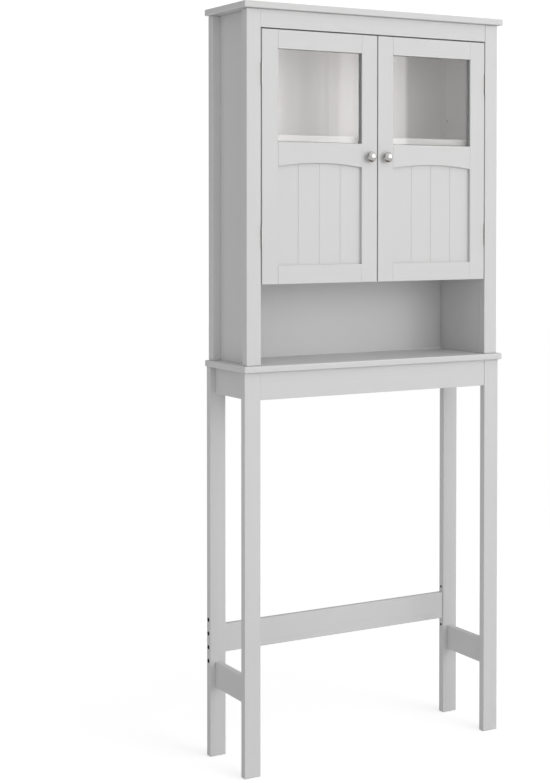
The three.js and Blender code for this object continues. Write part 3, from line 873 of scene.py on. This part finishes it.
paper, tree, shader = new_material("white paper floor")
place = object_place(tree)
shade = ranged(tree, noise(tree, place, 3.0, 4.0), 0.3, 0.7, 0.80, 0.82)
grey = wired(tree, "ShaderNodeCombineColor", {0: shade, 1: shade, 2: shade}).outputs[0]
tree.links.new(grey, shader.inputs["Base Color"])
shader.inputs["Roughness"].default_value = 0.9
distance = wired(tree, "ShaderNodeVectorMath", {0: place}, operation="LENGTH").outputs["Value"]
fade = ranged(tree, distance, 1.2, 3.5, 0.0, 1.0)
seen = in_view(tree, 0)
lift = wired(tree, "ShaderNodeEmission", {"Strength": calc(tree, "MULTIPLY", seen, 0.44)}).outputs[0]
lit = wired(tree, "ShaderNodeAddShader", {0: shader.outputs[0], 1: lift}).outputs[0]
white = wired(tree, "ShaderNodeEmission", {"Strength": 1.0}).outputs[0]
faded = calc(tree, "MULTIPLY", fade, seen)
plain = wired(tree, "ShaderNodeMixShader", {0: faded, 1: lit, 2: white}).outputs[0]
dark = wired(tree, "ShaderNodeBsdfDiffuse", {"Color": DARK_FLOOR}).outputs[0]
near = calc(tree, "MULTIPLY", in_mirror(tree, 0), ranged(tree, distance, 1.3, 2.1, 1.0, 0.0))
mixed = wired(tree, "ShaderNodeMixShader", {0: near, 1: plain, 2: dark})
tree.links.new(mixed.outputs[0], tree.nodes["Material Output"].inputs["Surface"])
floor.data.materials.append(paper)

world = bpy.data.worlds.new("studio")
bpy.context.scene.world = world
world.use_nodes = True
tree = world.node_tree
fill = tree.nodes["Background"]
way = wired(tree, "ShaderNodeTexCoord").outputs["Generated"]


def wall_glow(direction, low, high, dim, bright):
    """Strength of the part of the studio that lies in a direction, faded out from its middle."""
    values = {0: way, 1: direction}
    towards = wired(tree, "ShaderNodeVectorMath", values, operation="DOT_PRODUCT").outputs["Value"]
    return ranged(tree, towards, low, high, dim, bright)


# What lights the object: brightest from the front and above, a little to the right.
tree.links.new(wall_glow((0.42, -0.80, 0.43), 0.55, 0.95, 0.60, 1.24), fill.inputs["Strength"])
fill.inputs["Color"].default_value = WHITE
# What shiny surfaces mirror: the front, something of the rear wall, and a window at the right.
front_wall = wall_glow((0.62, -0.74, 0.25), -0.35, 0.9, 0.06, 1.15)
rear_wall = wall_glow((0.49, 0.87, 0), 0.7, 0.95, 0, 0.35)
window = wall_glow((0.80, -0.60, 0.10), 0.84, 0.95, 0, 1.8)
glow = calc(tree, "ADD", calc(tree, "ADD", front_wall, rear_wall), window)
walls = wired(tree, "ShaderNodeBackground", {"Strength": glow}).outputs[0]
white = wired(tree, "ShaderNodeBackground", {"Color": WHITE, "Strength": 1.06}).outputs[0]
shares = {0: in_mirror(tree, 1), 1: fill.outputs[0], 2: walls}
mirrored = wired(tree, "ShaderNodeMixShader", shares).outputs[0]
mixed = wired(tree, "ShaderNodeMixShader", {0: in_view(tree, 1), 1: mirrored, 2: white})
tree.links.new(mixed.outputs[0], tree.nodes["World Output"].inputs["Surface"])


def soft_lamp(name, place, aim, width, height, power):
    """A rectangular soft lamp that looks at a point."""
    lamp = bpy.data.lights.new(name, "AREA")
    lamp.shape = "RECTANGLE"
    lamp.size, lamp.size_y, lamp.energy = width, height, power
    stand = bpy.data.objects.new(name, lamp)
    stand.location = place
    stand.rotation_euler = (Vector(aim) - Vector(place)).to_track_quat("-Z", "Y").to_euler()
    bpy.context.scene.collection.objects.link(stand)
    return stand


main_lamp = soft_lamp("main lamp", (1.9, -5.1, 2.0), (1.2, 0, 1.25), 3.4, 3.4, 46)
side_fill = soft_lamp("side fill", (-3.6, -4.0, 2.0), (0, 0, 1.2), 2.0, 2.0, 9)
main_lamp.visible_glossy = side_fill.visible_glossy = False

SCREEN = {"left": 1.4, "right": 3.3, "y": -3.5, "low": 1.1, "high": 2.4}
SCREEN_FOLD = {"at": 2.403, "wide": 0.03, "beyond": 2.3}
screen = bpy.data.objects.new("pale_screen", bpy.data.meshes.new("pale screen"))
shape = bmesh.new()
bmesh.ops.create_grid(shape, x_segments=1, y_segments=1, size=0.5)
upright = Matrix.Rotation(math.radians(-90), 3, "X")
bmesh.ops.rotate(shape, cent=(0, 0, 0), matrix=upright, verts=shape.verts)
size = (SCREEN["right"] - SCREEN["left"], 1, SCREEN["high"] - SCREEN["low"])
bmesh.ops.scale(shape, vec=size, verts=shape.verts)
middle = ((SCREEN["left"] + SCREEN["right"]) / 2, SCREEN["y"], (SCREEN["low"] + SCREEN["high"]) / 2)
bmesh.ops.translate(shape, vec=middle, verts=shape.verts)
shape.to_mesh(screen.data)
shape.free()
screen.visible_camera = screen.visible_diffuse = screen.visible_shadow = False
bpy.context.scene.collection.objects.link(screen)

cloth = bpy.data.materials.new("pale screen")
cloth.use_nodes = True
tree = cloth.node_tree
tree.nodes.remove(tree.nodes["Principled BSDF"])
place = object_place(tree)
along = wired(tree, "ShaderNodeSeparateXYZ", {0: place}).outputs["X"]
folds = noise(tree, stretched(tree, place, (11.0, 0.0, 0.2)), 1.0, 2.0)
creases = noise(tree, stretched(tree, place, (48.0, 0.0, 0.2)), 1.0, 1.0)
folds = ranged(tree, folds, 0.35, 0.65, 0.86, 1.14)
creases = ranged(tree, creases, 0.35, 0.65, 0.95, 1.05)
slope = ranged(tree, along, 1.7, 2.1, 4.4, 5.0)
bright = calc(tree, "MULTIPLY", slope, calc(tree, "MULTIPLY", folds, creases))
past = ranged(tree, along, SCREEN_FOLD["at"], SCREEN_FOLD["at"] + SCREEN_FOLD["wide"], 0.0, 1.0)
values = {"Factor": past, "A": bright, "B": SCREEN_FOLD["beyond"]}
strength = wired(tree, "ShaderNodeMix", values).outputs["Result"]
glow = wired(tree, "ShaderNodeEmission", {"Color": (1.0, 0.965, 0.95, 1), "Strength": strength})
tree.links.new(glow.outputs[0], tree.nodes["Material Output"].inputs["Surface"])
screen.data.materials.append(cloth)

CAMERA = {"place": (-1.9989, -3.1329, 1.2617), "turn": 29.518, "dip": 1.364, "lens": 72.11, "shift": -0.18}
camera = bpy.data.objects.new("camera", bpy.data.cameras.new("camera"))
camera.location = CAMERA["place"]
camera.rotation_euler = (math.radians(90 - CAMERA["dip"]), 0, -math.radians(CAMERA["turn"]))
camera.data.sensor_width = 36
camera.data.lens = CAMERA["lens"]
camera.data.shift_y = CAMERA["shift"]
bpy.context.scene.collection.objects.link(camera)
bpy.context.scene.camera = camera
bpy.context.scene.view_settings.view_transform = "Standard"
